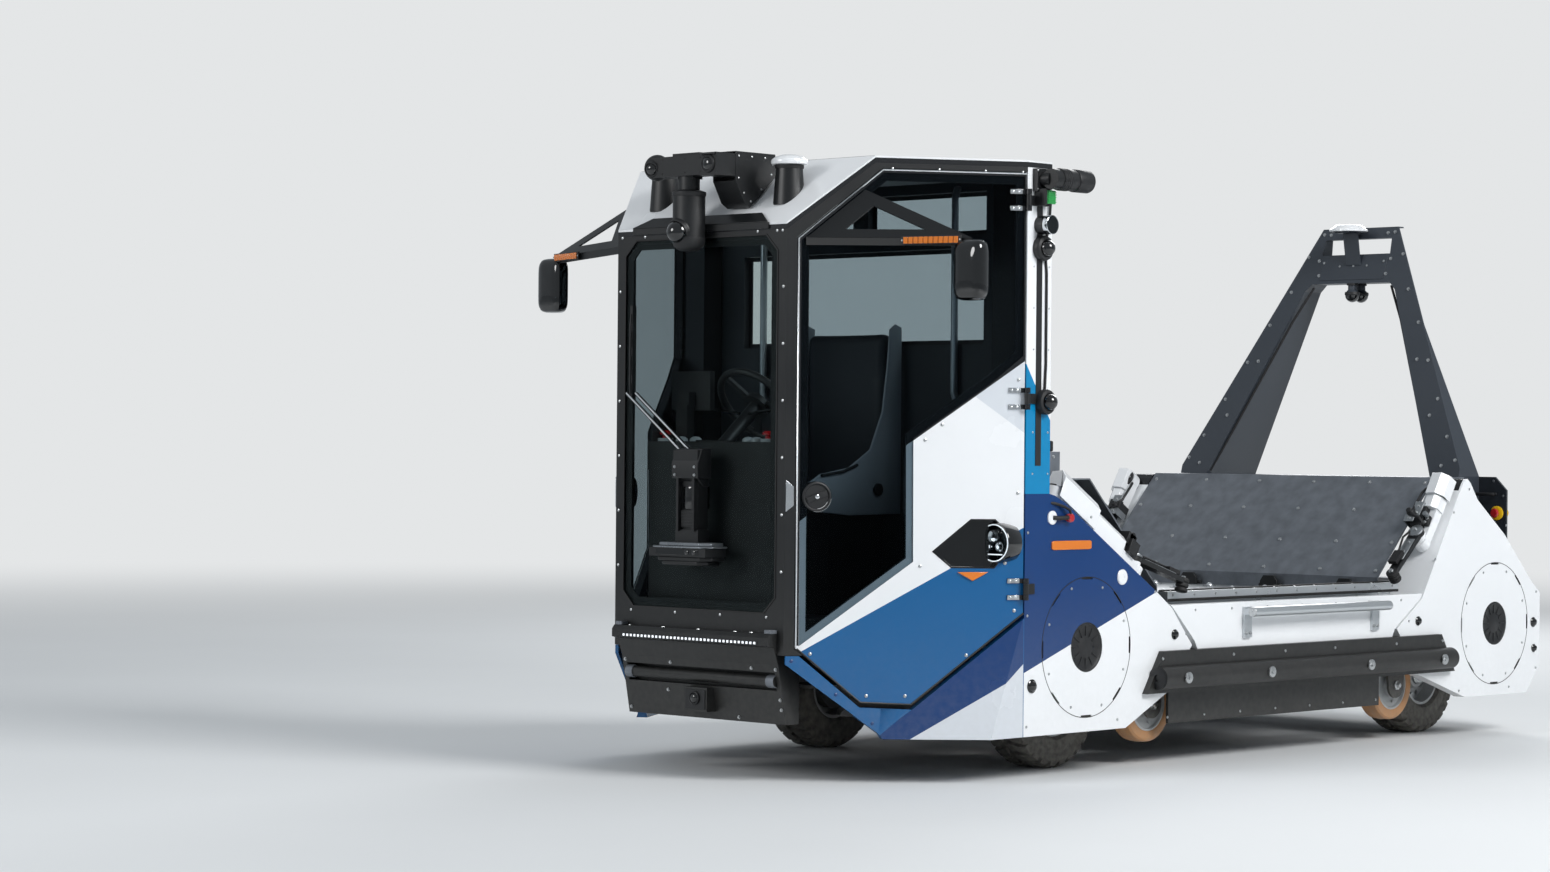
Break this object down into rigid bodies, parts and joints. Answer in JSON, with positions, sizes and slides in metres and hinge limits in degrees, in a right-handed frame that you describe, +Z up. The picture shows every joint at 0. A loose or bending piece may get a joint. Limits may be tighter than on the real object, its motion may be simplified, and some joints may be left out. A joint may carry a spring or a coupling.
{
  "type": "airport baggage tug",
  "caption": "Self-driving electric airport baggage tug with a glazed cab, an open container deck, folding loading arms and a rear sensor mast.",
  "frame": {"origin": "on the ground below the middle of the vehicle's overall box", "axes": "+X forward along the vehicle, +Y to its left, +Z up"},
  "size_m": [4.6, 2.35, 2.34],
  "materials": {
    "frame_black": "satin",
    "battery_grey": "satin",
    "deck_alloy": "brushed",
    "rail_alloy": "satin",
    "grey_sheet": "satin",
    "white_panel": "glossy",
    "black_panel": "satin",
    "black_plastic": "matte",
    "fender_rubber": "matte",
    "tinted_glass": "tinted",
    "seat_fabric": "woven",
    "bright_steel": "machined",
    "rim_metal": "satin",
    "tyre_rubber": "matte",
    "castor_tread": "satin",
    "door_panel": "glossy",
    "arm_cover": "satin",
    "arm_black": "satin"
  },
  "bodies": {
    "vehicle": {"chassis_frame": "frame_black", "axle_beams": "frame_black", "battery_pack": "battery_grey", "deck": "deck_alloy", "deck_rails": "rail_alloy", "cradles": "grey_sheet", "front_pods": "white_panel", "rear_pods": "white_panel", "hatch_covers": "white_panel", "side_sills": "white_panel", "side_bumpers": "black_panel", "fenders": "fender_rubber", "castor_housings": "grey_sheet", "cab_floor": "frame_black", "cab_skirts": "white_panel", "cab_frame": "black_panel", "roof": "white_panel", "cab_glass": "tinted_glass", "cab_rear_wall": "white_panel", "front_bumper": "black_plastic", "front_scanner": "black_plastic", "roof_sensors": "black_plastic", "pillar_fittings": "black_plastic", "seat_cushions": "seat_fabric", "console": "black_plastic", "sensor_mast": "grey_sheet", "tail_panel": "white_panel", "tow_hitch": "frame_black", "arm_pivots": "bright_steel"},
    "door_left": {"door_left": "door_panel", "door_glass_left": "tinted_glass", "mirror_left": "black_plastic"},
    "door_right": {"door_right": "door_panel", "door_glass_right": "tinted_glass", "mirror_right": "black_plastic"},
    "knuckle_front_left": {"knuckle_front_left": "frame_black"},
    "wheel_front_left": {"rim_front_left": "rim_metal", "tyre_front_left": "tyre_rubber"},
    "castor_front_left": {"castor_front_left": "castor_tread"},
    "upper_arm_front_left": {"upper_arm_front_left": "arm_cover"},
    "forearm_front_left": {"forearm_front_left": "arm_black"},
    "knuckle_front_right": {"knuckle_front_right": "frame_black"},
    "wheel_front_right": {"rim_front_right": "rim_metal", "tyre_front_right": "tyre_rubber"},
    "castor_front_right": {"castor_front_right": "castor_tread"},
    "upper_arm_front_right": {"upper_arm_front_right": "arm_cover"},
    "forearm_front_right": {"forearm_front_right": "arm_black"},
    "knuckle_rear_left": {"knuckle_rear_left": "frame_black"},
    "wheel_rear_left": {"rim_rear_left": "rim_metal", "tyre_rear_left": "tyre_rubber"},
    "castor_rear_left": {"castor_rear_left": "castor_tread"},
    "upper_arm_rear_left": {"upper_arm_rear_left": "arm_cover"},
    "forearm_rear_left": {"forearm_rear_left": "arm_black"},
    "knuckle_rear_right": {"knuckle_rear_right": "frame_black"},
    "wheel_rear_right": {"rim_rear_right": "rim_metal", "tyre_rear_right": "tyre_rubber"},
    "castor_rear_right": {"castor_rear_right": "castor_tread"},
    "upper_arm_rear_right": {"upper_arm_rear_right": "arm_cover"},
    "forearm_rear_right": {"forearm_rear_right": "arm_black"}
  },
  "joints": [
    {"name": "door_left_hinge", "type": "hinge", "parent": "vehicle", "child": "door_left", "pos_m": [1.40047, 0.95257, 1.4], "axis": [0, 0, 1], "range_deg": [0, 95]},
    {"name": "door_right_hinge", "type": "hinge", "parent": "vehicle", "child": "door_right", "pos_m": [1.40047, -0.95257, 1.4], "axis": [0, 0, -1], "range_deg": [0, 95]},
    {"name": "steer_front_left", "type": "hinge", "parent": "vehicle", "child": "knuckle_front_left", "pos_m": [0.874, 0.44, 0.25], "axis": [0, 0, 1], "range_deg": [-30, 30]},
    {"name": "wheel_front_left_spin", "type": "hinge", "parent": "knuckle_front_left", "child": "wheel_front_left", "pos_m": [0.874, 0.584, 0.25], "axis": [0, 1, 0], "continuous": true},
    {"name": "castor_front_left_spin", "type": "hinge", "parent": "vehicle", "child": "castor_front_left", "pos_m": [0.447, 0.75, 0.236], "axis": [0, 1, 0], "continuous": true},
    {"name": "shoulder_front_left", "type": "hinge", "parent": "vehicle", "child": "upper_arm_front_left", "pos_m": [1.14, 0.859, 1.03071], "axis": [0.5264, 0, -0.8502], "range_deg": [0, 90]},
    {"name": "elbow_front_left", "type": "hinge", "parent": "upper_arm_front_left", "child": "forearm_front_left", "pos_m": [0.6565, 0.859, 0.74783], "axis": [0.2884, 0, -0.9575], "range_deg": [0, 100]},
    {"name": "steer_front_right", "type": "hinge", "parent": "vehicle", "child": "knuckle_front_right", "pos_m": [0.874, -0.44, 0.25], "axis": [0, 0, 1], "range_deg": [-30, 30]},
    {"name": "wheel_front_right_spin", "type": "hinge", "parent": "knuckle_front_right", "child": "wheel_front_right", "pos_m": [0.874, -0.584, 0.25], "axis": [0, 1, 0], "continuous": true},
    {"name": "castor_front_right_spin", "type": "hinge", "parent": "vehicle", "child": "castor_front_right", "pos_m": [0.447, -0.75, 0.236], "axis": [0, 1, 0], "continuous": true},
    {"name": "shoulder_front_right", "type": "hinge", "parent": "vehicle", "child": "upper_arm_front_right", "pos_m": [1.14, -0.859, 1.03071], "axis": [-0.5264, 0, 0.8502], "range_deg": [0, 90]},
    {"name": "elbow_front_right", "type": "hinge", "parent": "upper_arm_front_right", "child": "forearm_front_right", "pos_m": [0.6565, -0.859, 0.74783], "axis": [-0.2884, 0, 0.9575], "range_deg": [0, 100]},
    {"name": "steer_rear_left", "type": "hinge", "parent": "vehicle", "child": "knuckle_rear_left", "pos_m": [-1.684, 0.44, 0.25], "axis": [0, 0, 1], "range_deg": [-30, 30]},
    {"name": "wheel_rear_left_spin", "type": "hinge", "parent": "knuckle_rear_left", "child": "wheel_rear_left", "pos_m": [-1.684, 0.584, 0.25], "axis": [0, 1, 0], "continuous": true},
    {"name": "castor_rear_left_spin", "type": "hinge", "parent": "vehicle", "child": "castor_rear_left", "pos_m": [-1.257, 0.75, 0.236], "axis": [0, 1, 0], "continuous": true},
    {"name": "shoulder_rear_left", "type": "hinge", "parent": "vehicle", "child": "upper_arm_rear_left", "pos_m": [-1.545, 0.859, 1.06842], "axis": [0.8465, 0, 0.5323], "range_deg": [0, 90]},
    {"name": "elbow_rear_left", "type": "hinge", "parent": "upper_arm_rear_left", "child": "forearm_rear_left", "pos_m": [-1.3841, 0.859, 0.83884], "axis": [0.6799, 0, 0.7333], "range_deg": [0, 100]},
    {"name": "steer_rear_right", "type": "hinge", "parent": "vehicle", "child": "knuckle_rear_right", "pos_m": [-1.684, -0.44, 0.25], "axis": [0, 0, 1], "range_deg": [-30, 30]},
    {"name": "wheel_rear_right_spin", "type": "hinge", "parent": "knuckle_rear_right", "child": "wheel_rear_right", "pos_m": [-1.684, -0.584, 0.25], "axis": [0, 1, 0], "continuous": true},
    {"name": "castor_rear_right_spin", "type": "hinge", "parent": "vehicle", "child": "castor_rear_right", "pos_m": [-1.257, -0.75, 0.236], "axis": [0, 1, 0], "continuous": true},
    {"name": "shoulder_rear_right", "type": "hinge", "parent": "vehicle", "child": "upper_arm_rear_right", "pos_m": [-1.545, -0.859, 1.06842], "axis": [-0.8465, 0, -0.5323], "range_deg": [0, 90]},
    {"name": "elbow_rear_right", "type": "hinge", "parent": "upper_arm_rear_right", "child": "forearm_rear_right", "pos_m": [-1.3841, -0.859, 0.83884], "axis": [-0.6799, 0, -0.7333], "range_deg": [0, 100]}
  ],
  "couplings": [
    {"joint": "steer_front_right", "follows": "steer_front_left", "ratio": 1},
    {"joint": "steer_rear_right", "follows": "steer_rear_left", "ratio": 1}
  ]
}
